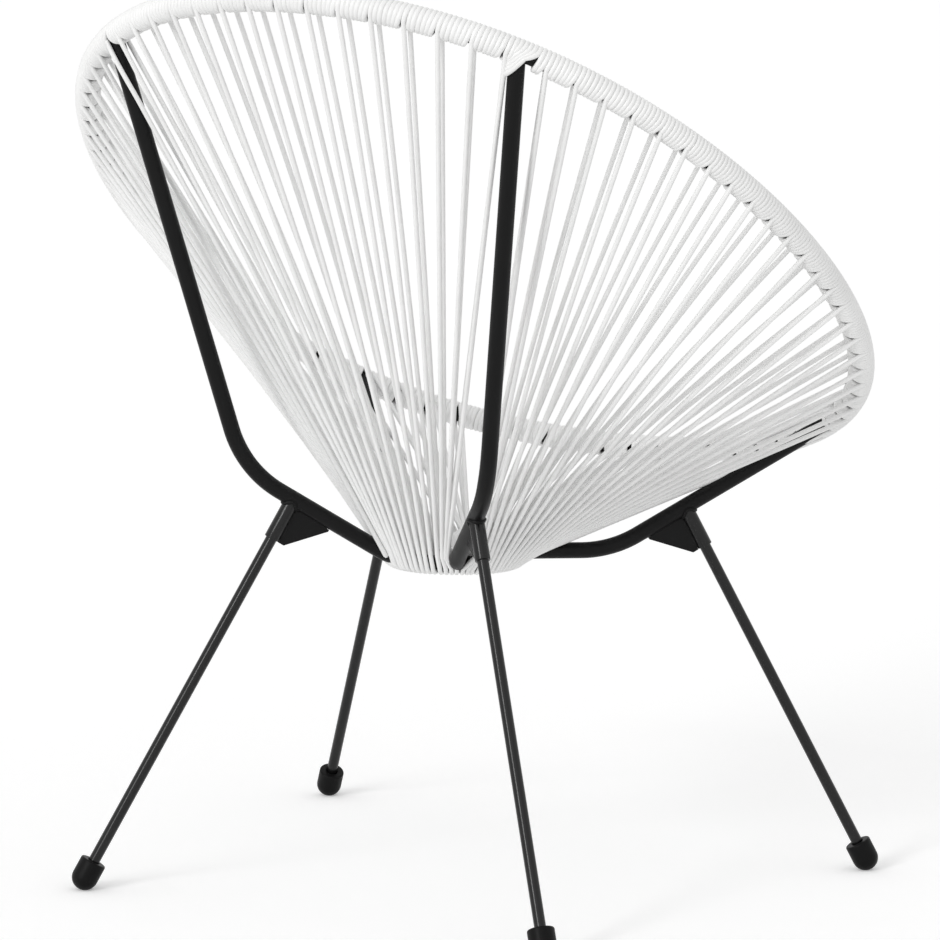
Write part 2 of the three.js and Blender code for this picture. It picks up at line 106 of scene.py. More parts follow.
floor_corners = [(-1, -1, 0), (1, -1, 0), (1, 1, 0), (-1, 1, 0)]
floor_mesh = bpy.data.meshes.new("studio_floor")
floor_mesh.from_pydata((np.array(floor_corners) * FLOOR_HALF).tolist(), [], [(0, 1, 2, 3)])
floor = bpy.data.objects.new("studio_floor", floor_mesh)
bpy.context.scene.collection.objects.link(floor)
floor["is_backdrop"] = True
floor_paint = bpy.data.materials.new("studio_floor")
floor_paint.use_nodes = True
floor_tree = floor_paint.node_tree
floor_shader = floor_tree.nodes["Principled BSDF"]
floor_shader.inputs["Base Color"].default_value = (FLOOR_COLOUR, FLOOR_COLOUR, FLOOR_COLOUR, 1)
floor_shader.inputs["Roughness"].default_value = FLOOR_ROUGHNESS
floor_shader.inputs["Specular IOR Level"].default_value = 0
lift = floor_tree.nodes.new("ShaderNodeMath")
lift.operation = "MULTIPLY"
lift.inputs[1].default_value = FLOOR_LIFT
floor_tree.links.new(seen_directly(floor_tree), lift.inputs[0])
glow = floor_tree.nodes.new("ShaderNodeEmission")
floor_tree.links.new(lift.outputs[0], glow.inputs["Strength"])
lifted = floor_tree.nodes.new("ShaderNodeAddShader")
floor_tree.links.new(floor_shader.outputs[0], lifted.inputs[0])
floor_tree.links.new(glow.outputs[0], lifted.inputs[1])
floor_tree.links.new(lifted.outputs[0], floor_tree.nodes["Material Output"].inputs["Surface"])
floor.data.materials.append(floor_paint)

world = bpy.data.worlds.new("studio")
bpy.context.scene.world = world
world.use_nodes = True
room = world.node_tree
room.nodes.clear()
soft_light = room.nodes.new("ShaderNodeBackground")
soft_light.inputs["Color"].default_value = (1, 1, 1, 1)
soft_light.inputs["Strength"].default_value = ROOM_LIGHT
white_wall = room.nodes.new("ShaderNodeBackground")
white_wall.inputs["Color"].default_value = (1, 1, 1, 1)
white_wall.inputs["Strength"].default_value = 1
room_mix = room.nodes.new("ShaderNodeMixShader")
room_out = room.nodes.new("ShaderNodeOutputWorld")
room.links.new(seen_directly(room), room_mix.inputs["Fac"])
room.links.new(soft_light.outputs[0], room_mix.inputs[1])
room.links.new(white_wall.outputs[0], room_mix.inputs[2])
room.links.new(room_mix.outputs[0], room_out.inputs["Surface"])
bpy.context.scene.view_settings.view_transform = "Standard"


def far_lamp(name, turn, rise, width, strength):
    """A sun lamp, whose light comes from a compass turn and a rise over the floor, all in degrees: its own
    upward axis is cosine of the rise along the turn, and sine of the rise upwards."""
    lamp = bpy.data.lights.new(name, "SUN")
    lamp.energy = strength
    lamp.angle = math.radians(width)
    turn = math.radians(turn)
    rise = math.radians(rise)
    away = np.array([math.cos(rise) * math.cos(turn), math.cos(rise) * math.sin(turn), math.sin(rise)])
    side = np.cross((0, 0, 1), away)
    side /= np.linalg.norm(side)
    rows = np.stack([side, np.cross(away, side), away, (0, 0, LAMP_HEIGHT)], axis=-1)
    lamp_object = bpy.data.objects.new(name, lamp)
    lamp_object.matrix_world = Matrix([*rows.tolist(), [0, 0, 0, 1]])
    bpy.context.scene.collection.objects.link(lamp_object)


far_lamp("strip_low", 88, 14, 12, 0.36)
far_lamp("strip_middle", 84, 24, 12, 0.34)
far_lamp("strip_high", 80, 34, 12, 0.34)
far_lamp("key", 100, 40, 60, 0.20)

# The rim is one 16 mm steel tube bent to an oval, fuller towards the front, and tilted up at the back. The
# cord covers it all round, and its black coat shows only in the notches and where the side tubes meet it.
TUBE_RADIUS = 0.008
RIM_HALF_WIDTH = 0.388
RIM_HALF_LENGTH = 0.417
RIM_FLATTENING = 0.0107
RIM_FRONT_FULLNESS = 0.068
RIM_CENTRE_HEIGHT = 0.6365
RIM_TILT = math.radians(36.3)
REAR_JOINT_TURN = math.radians(37.7)
FRONT_JOINT_TURN = math.radians(136.5)
RIM_SAMPLES = 2880
RIM_TUBE_STEPS = 360
RIM_TUBE_SIDES = 20
RIM_TUBE_PAINT_GAP = 0.0002
TURN_STEP = 1e-4
SHARP_EDGE = math.radians(60)


def rim_line(turn):
    """The oval: cosine along less a third harmonic, sine across swelling to the front, tilted about X."""
    along = RIM_HALF_LENGTH * np.cos(turn) - RIM_FLATTENING * np.cos(3 * turn)
    across = RIM_HALF_WIDTH * np.sin(turn) * (1 - RIM_FRONT_FULLNESS * np.cos(turn))
    height = RIM_CENTRE_HEIGHT + along * math.sin(RIM_TILT)
    return np.stack([across, along * math.cos(RIM_TILT), height], axis=-1)


rim_turns = np.linspace(-2 * math.pi, 4 * math.pi, 3 * RIM_SAMPLES + 1)
rim_points = rim_line(rim_turns)
rim_steps = np.linalg.norm(np.diff(rim_points, axis=0), axis=1)
rim_lengths = np.concatenate([[0], np.cumsum(rim_steps)])
rim_lengths -= np.interp(0, rim_turns, rim_lengths)
RIM_LENGTH = float(np.interp(2 * math.pi, rim_turns, rim_lengths))


def rim_at(length):
    """The rim's centre line at a length from its rearmost point, and its direction there."""
    turn = np.interp(length, rim_lengths, rim_turns)
    point = rim_line(turn)
    ahead = rim_line(turn + TURN_STEP) - rim_line(turn - TURN_STEP)
    return point, ahead / np.linalg.norm(ahead, axis=-1, keepdims=True)


def unit(vectors):
    """Each vector divided by its length."""
    return vectors / np.linalg.norm(vectors, axis=-1, keepdims=True)


def tube_mesh(name, points, normals, radius, sides, closed=False, spread=1.0):
    """A round profile carried along a path: at each point a circle in the plane square to the path, its
    first point towards the given normal, and spread square to that. Radius and spread may change along
    the path, and open ends are capped."""
    count = len(points)
    if closed:
        ahead = np.roll(points, -1, axis=0) - np.roll(points, 1, axis=0)
    else:
        ahead = np.gradient(points, axis=0)
    ahead = unit(ahead)
    across = unit(np.cross(ahead, normals))
    outward = np.cross(across, ahead)
    angle = np.arange(sides) * (2 * math.pi / sides)
    radii = np.broadcast_to(np.asarray(radius, dtype=float), (count,))[:, None, None]
    across = across * np.broadcast_to(np.asarray(spread, dtype=float), (count,))[:, None]
    circle = (
        outward[:, None, :] * np.cos(angle)[None, :, None]
        + across[:, None, :] * np.sin(angle)[None, :, None]
    )
    vertices = (points[:, None, :] + radii * circle).reshape(-1, 3)
    rows = np.arange(count if closed else count - 1)
    next_rows = (rows + 1) % count
    cols = np.arange(sides)
    next_cols = (cols + 1) % sides
    a = rows[:, None] * sides + cols[None, :]
    b = rows[:, None] * sides + next_cols[None, :]
    c = next_rows[:, None] * sides + next_cols[None, :]
    d = next_rows[:, None] * sides + cols[None, :]
    quads = np.stack([a, b, c, d], axis=-1).reshape(-1, 4)
    faces = quads.tolist()
    if not closed:
        faces.append(list(range(sides))[::-1])
        faces.append(list(range((count - 1) * sides, count * sides)))
    mesh = bpy.data.meshes.new(name)
    mesh.from_pydata(vertices.tolist(), [], faces)
    mesh.polygons.foreach_set("use_smooth", [True] * len(mesh.polygons))
    mesh.set_sharp_from_angle(angle=SHARP_EDGE)
    mesh.update()
    return mesh


def add_piece(name, mesh, material, slot, *nodes):
    """A finished piece of the chair, riding on its one body, in place of the named solids."""
    piece = bpy.data.objects.new(name, mesh)
    bpy.context.scene.collection.objects.link(piece)
    piece.data.materials.append(material)
    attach(piece, "root")
    if nodes:
        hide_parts(*nodes)


COAT_DRIFT_SCALE = 38
COAT_DRIFT_DETAIL = 4
COAT_DARK_SHARES = (0.82, 0.82, 0.84)
COAT_PALE_SHARES = (1.2, 1.2, 1.22)
COAT_ROUGHNESS_BELOW = 0.05
COAT_ROUGHNESS_ABOVE = 0.06
PEEL_SCALE = 900
PEEL_DETAIL = 2
PEEL_STRENGTH = 0.12
PEEL_DEPTH = 0.0002


def powder_coat(name, colour, roughness, gleam):
    """Satin black powder coat: a near-black colour that drifts a little, and the fine orange peel that
    baked powder leaves, as a noise bump a millimetre across with a coarser unevenness in the gloss.
    Gleam is how much it mirrors when looked at squarely, where 0.5 is plain clear lacquer."""
    material = bpy.data.materials.new(name)
    material.use_nodes = True
    nodes = material.node_tree.nodes
    links = material.node_tree.links
    shader = nodes["Principled BSDF"]
    shader.inputs["Specular IOR Level"].default_value = gleam
    place = nodes.new("ShaderNodeTexCoord")
    drift = nodes.new("ShaderNodeTexNoise")
    drift.inputs["Scale"].default_value = COAT_DRIFT_SCALE
    drift.inputs["Detail"].default_value = COAT_DRIFT_DETAIL
    links.new(place.outputs["Object"], drift.inputs["Vector"])
    tint = nodes.new("ShaderNodeValToRGB")
    tint.color_ramp.elements[0].color = (*[colour * share for share in COAT_DARK_SHARES], 1)
    tint.color_ramp.elements[1].color = (*[colour * share for share in COAT_PALE_SHARES], 1)
    links.new(drift.outputs["Fac"], tint.inputs["Fac"])
    links.new(tint.outputs["Color"], shader.inputs["Base Color"])
    gloss = nodes.new("ShaderNodeMapRange")
    gloss.inputs["To Min"].default_value = roughness - COAT_ROUGHNESS_BELOW
    gloss.inputs["To Max"].default_value = roughness + COAT_ROUGHNESS_ABOVE
    links.new(drift.outputs["Fac"], gloss.inputs["Value"])
    links.new(gloss.outputs["Result"], shader.inputs["Roughness"])
    peel = nodes.new("ShaderNodeTexNoise")
    peel.inputs["Scale"].default_value = PEEL_SCALE
    peel.inputs["Detail"].default_value = PEEL_DETAIL
    links.new(place.outputs["Object"], peel.inputs["Vector"])
    bump = nodes.new("ShaderNodeBump")
    bump.inputs["Strength"].default_value = PEEL_STRENGTH
    bump.inputs["Distance"].default_value = PEEL_DEPTH
    links.new(peel.outputs["Fac"], bump.inputs["Height"])
    links.new(bump.outputs["Normal"], shader.inputs["Normal"])
    return material


frame_coat = powder_coat("satin_black_powder_coat", 0.006, 0.40, 0.13)
rim_ring_points, _ = rim_at(np.arange(RIM_TUBE_STEPS) / RIM_TUBE_STEPS * RIM_LENGTH)
rim_plane_normal = np.array([0, -math.sin(RIM_TILT), math.cos(RIM_TILT)])
add_piece(
    "rim_tube_steel",
    tube_mesh(
        "rim_tube_steel",
        rim_ring_points,
        np.broadcast_to(rim_plane_normal, rim_ring_points.shape),
        TUBE_RADIUS - RIM_TUBE_PAINT_GAP,
        RIM_TUBE_SIDES,
        closed=True,
    ),
    frame_coat,
    "frame_paint",
    "rim_tube",
)

# Two side tubes of the same stock carry the rim. Each drops from the rim behind the strands, bends in under
# the bowl, runs forward through the seat ring and climbs again under the front strands to the rim.
REAR_ELBOW = (0.1387, 0.1747, 0.4144)
SIDE_TUBE_OUT = 0.036
SIDE_TUBE_HEIGHT = 0.324
REAR_RING_BEND_BACK = 0.066
FRONT_RING_BEND_FORWARD = 0.042
FRONT_ELBOW = (0.118, -0.094, 0.326)
SIDE_BEND_RADII = (0.110, 0.032, 0.055, 0.110)
SIDE_TUBE_SIDES = 28
BEND_POINTS = 24


def bent_path(corners, bend_radii):
    """Straight runs joined by round bends. A bend between two directions is the arc of its radius that
    touches both, each point the arc's centre plus the radius turned from the first tangent point."""
    corners = np.asarray(corners, dtype=float)
    pieces = [corners[:1]]
    for before, corner, after, radius in zip(corners[:-2], corners[1:-1], corners[2:], bend_radii):
        inward = unit(corner - before)
        outward = unit(after - corner)
        bend = math.acos(float(np.clip(np.dot(inward, outward), -1, 1)))
        setback = radius * math.tan(bend / 2)
        enter = corner - inward * setback
        to_centre = unit(outward - inward * np.dot(inward, outward))
        centre = enter + to_centre * radius
        angle = np.linspace(0, bend, BEND_POINTS)[:, None]
        pieces.append(centre - to_centre * radius * np.cos(angle) + inward * radius * np.sin(angle))
    pieces.append(corners[-1:])
    return np.concatenate(pieces)


def side_corners(side):
    """The corners of one side tube's centre line, from the rear of the rim to its front."""
    rear = rim_line(np.array(REAR_JOINT_TURN))
    front = rim_line(np.array(FRONT_JOINT_TURN))
    mirror = np.array([side, 1, 1])
    return [
        rear * mirror,
        np.array(REAR_ELBOW) * mirror,
        np.array([side * SIDE_TUBE_OUT, REAR_RING_BEND_BACK, SIDE_TUBE_HEIGHT]),
        np.array([side * SIDE_TUBE_OUT, -FRONT_RING_BEND_FORWARD, SIDE_TUBE_HEIGHT]),
        np.array(FRONT_ELBOW) * mirror,
        front * mirror,
    ]


for side, side_name in ((1, "left"), (-1, "right")):
    side_points = bent_path(side_corners(side), SIDE_BEND_RADII)
    sideways = np.broadcast_to(np.array([side, 0.3, 0.0]), side_points.shape)
    add_piece(
        f"side_tube_{side_name}_steel",
        tube_mesh(f"side_tube_{side_name}_steel", side_points, sideways, TUBE_RADIUS, SIDE_TUBE_SIDES),
        frame_coat,
        "frame_paint",
        f"side_tube_{side_name}",
    )

# The seat ring is four short arcs of 14 mm tube, butted and welded to the side tubes' flanks at their level.
# The cord loops under it, and its black coat shows through the slits between the strands.
RING_RADIUS = 0.060
RING_TUBE_RADIUS = 0.007
RING_TUBE_SIDES = 24
RING_ARC_POINTS = 40
RING_CENTRE_BACK = 0.010
RING_WELD_DEPTH = 0.001
ring_crossing = math.asin(SIDE_TUBE_OUT / RING_RADIUS)
ring_weld = (TUBE_RADIUS - RING_WELD_DEPTH) / RING_RADIUS / math.cos(ring_crossing)
RING_ARCS = {
    "rear": (-ring_crossing + ring_weld, ring_crossing - ring_weld),
    "left": (ring_crossing + ring_weld, math.pi - ring_crossing - ring_weld),
    "front": (math.pi - ring_crossing + ring_weld, math.pi + ring_crossing - ring_weld),
    "right": (math.pi + ring_crossing + ring_weld, 2 * math.pi - ring_crossing - ring_weld),
}


def ring_at(turn):
    """The seat ring's centre line at a turn from the back of the chair, and its direction there."""
    turn = np.asarray(turn, dtype=float)
    point = np.stack(
        [
            RING_RADIUS * np.sin(turn),
            RING_RADIUS * np.cos(turn) + RING_CENTRE_BACK,
            np.full_like(turn, SIDE_TUBE_HEIGHT),
        ],
        axis=-1,
    )
    ahead = np.stack([np.cos(turn), -np.sin(turn), np.zeros_like(turn)], axis=-1)
    return point, ahead


for arc_name, (arc_start, arc_end) in RING_ARCS.items():
    arc_points, _ = ring_at(np.linspace(arc_start, arc_end, RING_ARC_POINTS))
    up = np.broadcast_to(np.array([0.0, 0.0, 1.0]), arc_points.shape)
    add_piece(
        f"seat_ring_{arc_name}_steel",
        tube_mesh(f"seat_ring_{arc_name}_steel", arc_points, up, RING_TUBE_RADIUS, RING_TUBE_SIDES),
        frame_coat,
        "frame_paint",
        f"seat_ring_{arc_name}",
    )

# The cord is one long solid plastic line, 4.8 mm thick. At each station it drops down the outside of the
# bowl, passes under the seat ring, climbs the inside and winds on round the rim by six and a half turns.
# Where a side tube meets the rim, the last turns of a bundle are laid slantwise over the tube.
CORD_RADIUS = 0.0024
TURNS_PER_STATION = 6.5
SKIPPED_TURN = 0.5
POINTS_PER_TURN = 26
CORD_SIDES = 8
RING_LOOP_POINTS = 14
PINCH_HEIGHT = 0.014
REAR_STATIONS = 15
SIDE_STATIONS = 24
FRONT_STATIONS = 18
RIM_WRAP = TUBE_RADIUS + CORD_RADIUS
RING_WRAP = RING_TUBE_RADIUS + CORD_RADIUS
BOWL_INSIDE = np.array([0, RING_CENTRE_BACK, RIM_CENTRE_HEIGHT])
TUBE_CLEAR = TUBE_RADIUS + CORD_RADIUS
TUBE_PHASE = math.radians(14)
TUBE_LEAN = 0.30
LASHING_DROP = 0.85
LASHING_SWING = math.radians(150)
WINDING_UNEVENNESS = 0.00025
FLATTENING = 0.15
FLATTENING_POINTS = 5
NOTCH_WIDTH = 0.0034
NOTCH_PHASE = 0.68
NOTCH_TURNS = 3
RING_UNEVENNESS = 0.12
UNEVEN_PLACES = 8
GIVING_POWER = 1.5
CROSSING_POINTS = 12
CROSSING_START = 0.008
CROSSING_END = 0.069
CROSSING_TURN = math.radians(1300)
rear_joint = float(np.interp(REAR_JOINT_TURN, rim_turns, rim_lengths))
front_joint = float(np.interp(FRONT_JOINT_TURN, rim_turns, rim_lengths))

# Each section: stations, its stretch of the rim, its stretch of the ring, the turns wound before its first
# strand, the length of rim at its end whose turns are laid over the tube, how the tube leans along the rim
# there, and the number of solids that it replaces.
CORD_SECTIONS = {
    "rear": (
        REAR_STATIONS,
        (-rear_joint, rear_joint),
        (-ring_crossing, ring_crossing),
        2,
        0.0065,
        TUBE_LEAN,
        3,
    ),
    "left": (
        SIDE_STATIONS,
        (rear_joint, front_joint),
        (ring_crossing, math.pi - ring_crossing),
        0,
        0.0065,
        TUBE_LEAN,
        4,
    ),
    "front": (
        FRONT_STATIONS,
        (front_joint, RIM_LENGTH - front_joint),
        (math.pi - ring_crossing, math.pi + ring_crossing),
        1,
        0.0065,
        -TUBE_LEAN,
        3,
    ),
    "right": (
        SIDE_STATIONS,
        (RIM_LENGTH - front_joint, RIM_LENGTH - rear_joint),
        (math.pi + ring_crossing, 2 * math.pi - ring_crossing),
        0,
        0.017,
        -TUBE_LEAN,
        4,
    ),
}


def section_frame(centre, ahead, towards):
    """Round a tube: the way towards the far end of the strand, squared to the tube, and the way out of the
    bowl, square to both."""
    towards = unit(towards - ahead * np.sum(towards * ahead, axis=-1, keepdims=True))
    outwards = np.cross(ahead, towards)
    facing = np.sum(outwards * (centre - BOWL_INSIDE), axis=-1, keepdims=True)
    return towards, np.where(facing < 0, -outwards, outwards)


def beside_tube(turn, ends, room):
    """A ring turn pressed back from the side tubes at both ends: unchanged in the middle, and squeezed in
    step towards the ends so that the last strand lies against the tube's flank."""
    middle = (ends[0] + ends[1]) / 2
    half = (ends[1] - ends[0]) / 2
    share = (turn - middle) / half
    squeeze = room / half
    return middle + half * (share - squeeze * share * np.abs(share) ** 3)


def pushed_aside(distance, room):
    """How far a turn of the winding gives way to a tube: the cube root of the sum of the cubes of its
    distance and the room, less the distance."""
    distance = np.maximum(distance, 0)
    return np.cbrt(distance ** 3 + room ** 3) - distance


def over_tube(joint_turn, elbow):
    """A strand's way down over a side tube's outside, from the joint on: a helix about the tube's straight
    run that keeps the two radii away from its line, and turns in step with the distance."""
    joint = rim_line(np.array(joint_turn))
    way = unit(np.asarray(elbow) - joint)
    ahead = unit(rim_line(np.array(joint_turn + TURN_STEP)) - joint)
    towards, outwards = section_frame(joint, ahead, way)
    off = unit(outwards - way * np.dot(outwards, way))
    side = np.cross(way, off)
    side = side * np.sign(np.dot(side, ahead))
    distance = np.linspace(CROSSING_START, CROSSING_END, CROSSING_POINTS)[:, None]
    turn = -CROSSING_TURN * distance
    return joint + way * distance + (off * np.cos(turn) + side * np.sin(turn)) * TUBE_CLEAR


def cord_path(stations, rim_span, ring_span, first_turns, lashing, lean, seed):
    """The cord's centre line over one section. Round the rim it is a helix whose turn falls as it goes
    along; it leaves at a quarter turn, tangent to the winding, runs straight to the ring, passes under it
    by a half circle and returns tangent to the winding's other side. The first strand after the rear joint
    on the left lies over the side tube and ends on its rear flank. Returns points, normals, and how far the
    cord is flattened against its neighbours, which is nothing on the strands."""
    jitter = np.random.default_rng(seed)
    pitch = (rim_span[1] - rim_span[0]) / stations
    turn_pitch = pitch / (TURNS_PER_STATION + SKIPPED_TURN)
    number = np.arange(stations)
    start = rim_span[0] + number * pitch
    leave = start + first_turns * turn_pitch
    arrive = leave + SKIPPED_TURN * turn_pitch
    ring_pitch = (ring_span[1] - ring_span[0]) / stations
    ring_turn = ring_span[0] + (number + 0.5) * ring_pitch
    ring_turn = ring_turn + jitter.uniform(-RING_UNEVENNESS, RING_UNEVENNESS, stations) * ring_pitch
    crosses = rim_span[0] == rear_joint
    if crosses:
        ring_turn[0] = ring_span[0]
    unevenness = jitter.normal(0, WINDING_UNEVENNESS, stations * UNEVEN_PLACES)
    uneven_places = np.linspace(rim_span[0], rim_span[1], len(unevenness))

    def wound(first, phases, notch=0.0):
        """Points on the rim's helix, from a length and the phases of the turn, which fall. Near a tube a
        turn gives way along the rim. The turns after a strand stand off it by the cube of a raised cosine,
        less with each turn, which leaves a notch. The last turns lie slantwise over the tube: each drops
        along it by a sine as it sweeps across, and keeps a circle of the tube's and the cord's radii away
        from its line."""
        spent = (phases[0] - phases) / (2 * math.pi)
        length = first[:, None] + spent[None, :] * turn_pitch
        length = length + np.interp(length, uneven_places, unevenness)
        bell = (0.5 + 0.5 * np.cos(2 * math.pi * (spent - NOTCH_PHASE))) ** 3
        length = length + notch * (bell * np.clip(1 - spent / NOTCH_TURNS, 0, 1))[None, :]
        centre, ahead = rim_at(length)
        share = (length - rim_span[0]) / (rim_span[1] - rim_span[0])
        far, _ = ring_at(ring_span[0] + share * (ring_span[1] - ring_span[0]))
        towards, outwards = section_frame(centre, ahead, far - centre)
        radial = towards * np.cos(phases)[None, :, None] + outwards * np.sin(phases)[None, :, None]
        facing = TUBE_CLEAR * np.clip(np.cos(phases - TUBE_PHASE), 0, 1)[None, :] ** GIVING_POWER
        given = pushed_aside(length - rim_span[0], facing) - pushed_aside(rim_span[1] - length, facing)
        moved, _ = rim_at(length + given)
        plain = moved + radial * RIM_WRAP

        lap = np.floor((phases + math.pi) / (2 * math.pi)) * 2 * math.pi
        before = rim_span[1] - first[:, None] - (phases[0] - lap)[None, :] / (2 * math.pi) * turn_pitch
        swing = (phases - lap - TUBE_PHASE)[None, :]
        fall = np.sin(np.clip(1 - np.abs(swing) / (math.pi / 2), 0, 1) * math.pi / 2)
        sweep = np.sin(np.clip(1 - np.abs(swing) / LASHING_SWING, 0, 1) * math.pi / 2) ** 2
        drop = (RIM_WRAP + LASHING_DROP * np.maximum(before, 0)) * fall
        across = (length - rim_span[1]) * (1 - sweep) + TUBE_CLEAR * sweep
        swell = np.sqrt(np.maximum(TUBE_CLEAR ** 2 - np.maximum(across, 0) ** 2, 0)) * np.sign(swing)
        beyond = np.clip(np.abs(swing) - math.pi / 2, 0, math.pi / 2)
        drop = drop - RIM_WRAP * np.sin(beyond)
        swell = swell * np.cos(beyond)
        base, _ = rim_at(rim_span[1] + across + lean * np.maximum(drop, 0))
        down_tube = towards * math.cos(TUBE_PHASE) + outwards * math.sin(TUBE_PHASE)
        off_tube = outwards * math.cos(TUBE_PHASE) - towards * math.sin(TUBE_PHASE)
        slanted = base + down_tube * drop[..., None] + off_tube * swell[..., None]
        lashed = (before < lashing) & (sweep > 0)
        return np.where(lashed[..., None], slanted, plain), radial

    quarter = math.pi / 2
    first_phases = np.linspace(
        quarter + 2 * math.pi * first_turns,
        quarter,
        int(first_turns * POINTS_PER_TURN) + 1,
    )
    last_turns = TURNS_PER_STATION - first_turns
    last_phases = np.linspace(
        -quarter,
        -quarter - 2 * math.pi * last_turns,
        int(last_turns * POINTS_PER_TURN) + 1,
    )
    first_points, first_normals = wound(start, first_phases)
    last_points, last_normals = wound(arrive, last_phases, NOTCH_WIDTH)

    ring_centre, ring_ahead = ring_at(ring_turn)
    rim_centre = (first_points[:, -1] + last_points[:, 0]) / 2
    towards, outwards = section_frame(ring_centre, ring_ahead, rim_centre - ring_centre)
    loop_phases = np.linspace(quarter, 3 * quarter, RING_LOOP_POINTS)
    radial = (
        towards[:, None, :] * np.cos(loop_phases)[None, :, None]
        + outwards[:, None, :] * np.sin(loop_phases)[None, :, None]
    )
    loop_points = ring_centre[:, None, :] + radial * RING_WRAP
    room = TUBE_CLEAR / RING_RADIUS / math.cos(ring_crossing)
    pinched_turn = beside_tube(ring_turn, ring_span, room)
    if crosses:
        pinched_turn[0] = ring_span[0] - room
    pinched, _ = ring_at(pinched_turn)
    shift = (pinched - ring_centre)[:, None, :]
    lift = towards[:, None, :] * PINCH_HEIGHT
    outer_pinch = loop_points[:, :1] + shift + lift
    inner_pinch = loop_points[:, -1:] + shift + lift
    along = np.linspace(0, 1, CROSSING_POINTS + 2)[None, 1:-1, None]
    outer_run = first_points[:, -1:] * (1 - along) + outer_pinch * along
    if crosses:
        outer_run[0] = over_tube(REAR_JOINT_TURN, REAR_ELBOW)
        outer_pinch[0] += outwards[0] * 2 * CORD_RADIUS
    run_normals = np.broadcast_to(outwards[:, None, :], outer_run.shape)
    points = np.concatenate(
        [first_points, outer_run, outer_pinch, loop_points, inner_pinch, last_points], axis=1
    )
    normals = np.concatenate(
        [first_normals, run_normals, outwards[:, None, :], radial, -outwards[:, None, :], last_normals],
        axis=1,
    )
    bare = np.zeros(CROSSING_POINTS + RING_LOOP_POINTS + 2)
    before_exit = np.clip(np.arange(len(first_phases))[::-1] / FLATTENING_POINTS, 0, 1)
    after_return = np.clip(np.arange(len(last_phases)) / FLATTENING_POINTS, 0, 1)
    flattened = 1 + FLATTENING * np.concatenate([before_exit, bare, after_return])
    return points.reshape(-1, 3), normals.reshape(-1, 3), np.tile(flattened, stations)


CORD_DRIFT_SCALE = 22
CORD_DRIFT_DETAIL = 3
CORD_DRIFT_RANGE = (0.3, 0.7)
CORD_DARK = (0.85, 0.85, 0.845)
CORD_PALE = (0.90, 0.90, 0.895)
CORD_ROUGHNESS = (0.34, 0.46)
DRAWN_SCALE = 420
DRAWN_DETAIL = 2
DRAWN_STRENGTH = 0.04
DRAWN_DEPTH = 0.0003


def white_cord():
    """Smooth white plastic line: a clean white that drifts a little from length to length, and a soft gloss
    with faint drawn marks."""
    material = bpy.data.materials.new("white_plastic_cord")
    material.use_nodes = True
    nodes = material.node_tree.nodes
    links = material.node_tree.links
    shader = nodes["Principled BSDF"]
    place = nodes.new("ShaderNodeTexCoord")
    drift = nodes.new("ShaderNodeTexNoise")
    drift.inputs["Scale"].default_value = CORD_DRIFT_SCALE
    drift.inputs["Detail"].default_value = CORD_DRIFT_DETAIL
    links.new(place.outputs["Object"], drift.inputs["Vector"])
    tint = nodes.new("ShaderNodeValToRGB")
    for stop, position, colour in zip(tint.color_ramp.elements, CORD_DRIFT_RANGE, (CORD_DARK, CORD_PALE)):
        stop.position = position
        stop.color = (*colour, 1)
    links.new(drift.outputs["Fac"], tint.inputs["Fac"])
    links.new(tint.outputs["Color"], shader.inputs["Base Color"])
    gloss = nodes.new("ShaderNodeMapRange")
    gloss.inputs["To Min"].default_value = CORD_ROUGHNESS[0]
    gloss.inputs["To Max"].default_value = CORD_ROUGHNESS[1]
    links.new(drift.outputs["Fac"], gloss.inputs["Value"])
    links.new(gloss.outputs["Result"], shader.inputs["Roughness"])
    drawn = nodes.new("ShaderNodeTexNoise")
    drawn.inputs["Scale"].default_value = DRAWN_SCALE
    drawn.inputs["Detail"].default_value = DRAWN_DETAIL
    links.new(place.outputs["Object"], drawn.inputs["Vector"])
    bump = nodes.new("ShaderNodeBump")
    bump.inputs["Strength"].default_value = DRAWN_STRENGTH
    bump.inputs["Distance"].default_value = DRAWN_DEPTH
    links.new(drawn.outputs["Fac"], bump.inputs["Height"])
    links.new(bump.outputs["Normal"], shader.inputs["Normal"])
    return material


cord_plastic = white_cord()
for seed, (section, (*route, sectors)) in enumerate(CORD_SECTIONS.items()):
    points, normals, flattened = cord_path(*route, seed)
    add_piece(
        f"cord_{section}_wound",
        tube_mesh(f"cord_{section}_wound", points, normals, CORD_RADIUS, CORD_SIDES, spread=flattened),
        cord_plastic,
        "cord",
        *[f"cord_{section}_{sector + 1}" for sector in range(sectors)],
    )

# Each leg is a straight 11 mm steel rod, pushed up into a short open socket that is welded under the side
# tube with a bead round its mitred top. The rod is coated like the frame, a touch glossier.
LEG_RADIUS = 0.0056
SOCKET_RADIUS = 0.0075
SOCKET_END = 0.044
SOCKET_START = 0.002
SOCKET_PLACE = 0.33
SOCKET_FIT = 0.0001
SOCKET_ROUNDING = 0.0006
LEG_START = 0.016
LEG_END_GAP = 0.002
LEG_SIDES = 40
CAP_RADIUS = 0.013
CAP_FLAT = 0.0005
FOOT_HEIGHT = CAP_RADIUS - CAP_FLAT
SLANTED_WAY = (0.3, 0.2, 0.93)
BEAD_RADIUS = 0.0021
BEAD_POINTS = 96
BEAD_SIDES = 12
BEAD_RIPPLES = 34
BEAD_RIPPLE_DEPTH = 0.05

# Each foot: its place on the floor, its side of the chair, and the corners of the side tube that its socket
# lies between.
FEET = {
    "rear_left": (0.262, 0.265, 1, 1, 2),
    "rear_right": (-0.262, 0.265, -1, 1, 2),
    "front_left": (0.3235, -0.256, 1, 4, 5),
    "front_right": (-0.3235, -0.256, -1, 4, 5),
}
leg_coat = powder_coat("satin_black_leg_coat", 0.004, 0.20, 0.34)


